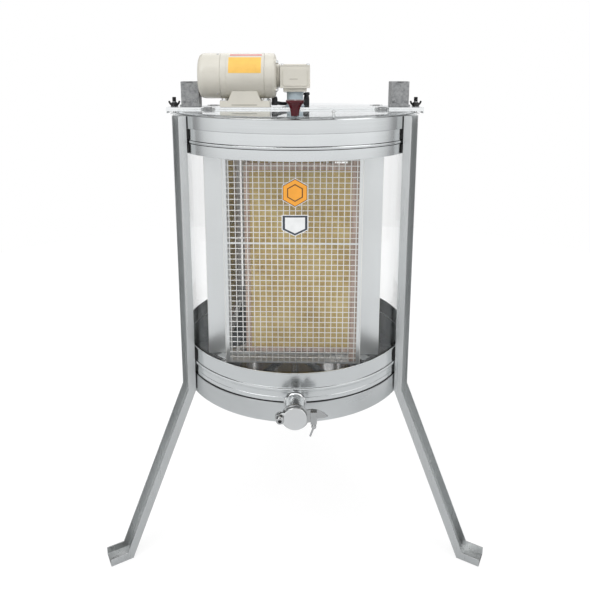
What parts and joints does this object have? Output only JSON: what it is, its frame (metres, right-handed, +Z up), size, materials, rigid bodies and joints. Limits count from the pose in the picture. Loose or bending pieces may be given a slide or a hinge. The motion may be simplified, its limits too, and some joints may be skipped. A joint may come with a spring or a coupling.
{
  "type": "honey extractor",
  "caption": "Tangential honey extractor: a motor-driven reel of comb baskets in a steel and clear-plastic drum on splayed channel legs, with an outlet gate.",
  "frame": {"origin": "centre of the footprint on the floor", "axes": "+Z up along the drum, -Y towards the outlet gate, +X to the right seen from the gate"},
  "size_m": [0.8376, 0.8, 1.097],
  "materials": {
    "brushed_steel": "stainless sheet, fine brushed grain, soft reflections",
    "polished_steel": "stainless sheet with a bright near-mirror finish",
    "galvanised": "matt speckled grey zinc",
    "cream_paint": "cream machine enamel, satin",
    "clear_plastic": "clear sheet plastic, glossy",
    "wire": "bright welded wire",
    "dark_steel": "blackened steel, satin",
    "black_plastic": "black moulded plastic",
    "red_plastic": "dark red moulded plastic, glossy",
    "grey_paint": "pale blue-grey enamel",
    "comb": "wooden hive frame with capped comb",
    "rubber": "black seal rubber",
    "bronze": "machined bronze and copper"
  },
  "bodies": {
    "drum": {"tank_shell": "brushed_steel", "tank_floor": "brushed_steel", "leg_right": "brushed_steel", "leg_rear": "brushed_steel", "leg_left": "brushed_steel", "leg_screw_right": "brushed_steel", "leg_screw_rear": "brushed_steel", "leg_screw_left": "brushed_steel", "clamp_stud_left": "brushed_steel", "clamp_stud_right": "brushed_steel", "bottom_bearing": "brushed_steel", "gate_body": "brushed_steel", "gate_pivot_bolt": "brushed_steel", "upper_ring": "polished_steel", "rim_band": "polished_steel", "crossbar": "polished_steel", "gate_pipe": "polished_steel", "post_left": "galvanised", "post_right": "galvanised", "fan_cowl": "cream_paint", "motor_body": "cream_paint", "motor_end_shield": "cream_paint", "motor_foot": "cream_paint", "gearbox_housing": "cream_paint", "gearbox_cover": "cream_paint", "clear_cylinder": "clear_plastic", "motor_lead": "black_plastic", "lead_inlet": "black_plastic", "coupling_column": "grey_paint", "gate_seal": "rubber", "motor_stator": "bronze"},
    "reel": {"reel_shaft": "brushed_steel", "crown_gear": "bronze", "bottom_spider": "brushed_steel", "top_spider": "brushed_steel", "basket_frame_front": "brushed_steel", "basket_frame_right": "brushed_steel", "basket_frame_rear": "brushed_steel", "basket_frame_left": "brushed_steel", "outer_mesh_front": "wire", "outer_mesh_right": "wire", "outer_mesh_rear": "wire", "outer_mesh_left": "wire", "comb_frame_front": "comb", "comb_frame_right": "comb", "comb_frame_rear": "comb", "comb_frame_left": "comb"},
    "rotor": {"motor_rotor": "brushed_steel"},
    "front_lid": {"front_lid": "clear_plastic", "front_lid_hinge_left": "galvanised", "front_lid_hinge_right": "galvanised", "front_lid_knob": "red_plastic"},
    "rear_lid": {"rear_lid": "clear_plastic", "rear_lid_hinge_left": "galvanised", "rear_lid_hinge_right": "galvanised", "rear_lid_knob": "red_plastic"},
    "gate_flap": {"gate_flap": "polished_steel"},
    "gate_screw": {"gate_clamp_screw": "brushed_steel"},
    "wing_left": {"wing_nut_left": "dark_steel"},
    "wing_right": {"wing_nut_right": "dark_steel"}
  },
  "joints": [
    {"name": "reel_spin", "type": "hinge", "parent": "drum", "child": "reel", "pos_m": [0, -0.072, 0.45], "axis": [0, 0, 1], "continuous": true},
    {"name": "motor_spin", "type": "hinge", "parent": "drum", "child": "rotor", "pos_m": [-0.12, -0.072, 1.047], "axis": [1, 0, 0], "continuous": true},
    {"name": "front_lid_open", "type": "hinge", "parent": "drum", "child": "front_lid", "pos_m": [0, -0.1185, 0.9777], "axis": [-1, 0, 0], "range_deg": [0, 85]},
    {"name": "rear_lid_open", "type": "hinge", "parent": "drum", "child": "rear_lid", "pos_m": [0, -0.0255, 0.9777], "axis": [1, 0, 0], "range_deg": [0, 85]},
    {"name": "gate_swing", "type": "hinge", "parent": "drum", "child": "gate_flap", "pos_m": [-0.029, -0.3904, 0.4], "axis": [0, -1, 0], "range_deg": [0, 95]},
    {"name": "gate_screw_turn", "type": "hinge", "parent": "drum", "child": "gate_screw", "pos_m": [0.036, -0.3916, 0.39], "axis": [0, 0, 1], "continuous": true},
    {"name": "wing_left_turn", "type": "hinge", "parent": "drum", "child": "wing_left", "pos_m": [-0.274, -0.072, 0.985], "axis": [0, 0, 1], "continuous": true},
    {"name": "wing_right_turn", "type": "hinge", "parent": "drum", "child": "wing_right", "pos_m": [0.274, -0.072, 0.985], "axis": [0, 0, 1], "continuous": true}
  ],
  "couplings": [
    {"joint": "motor_spin", "follows": "reel_spin", "ratio": -4}
  ]
}
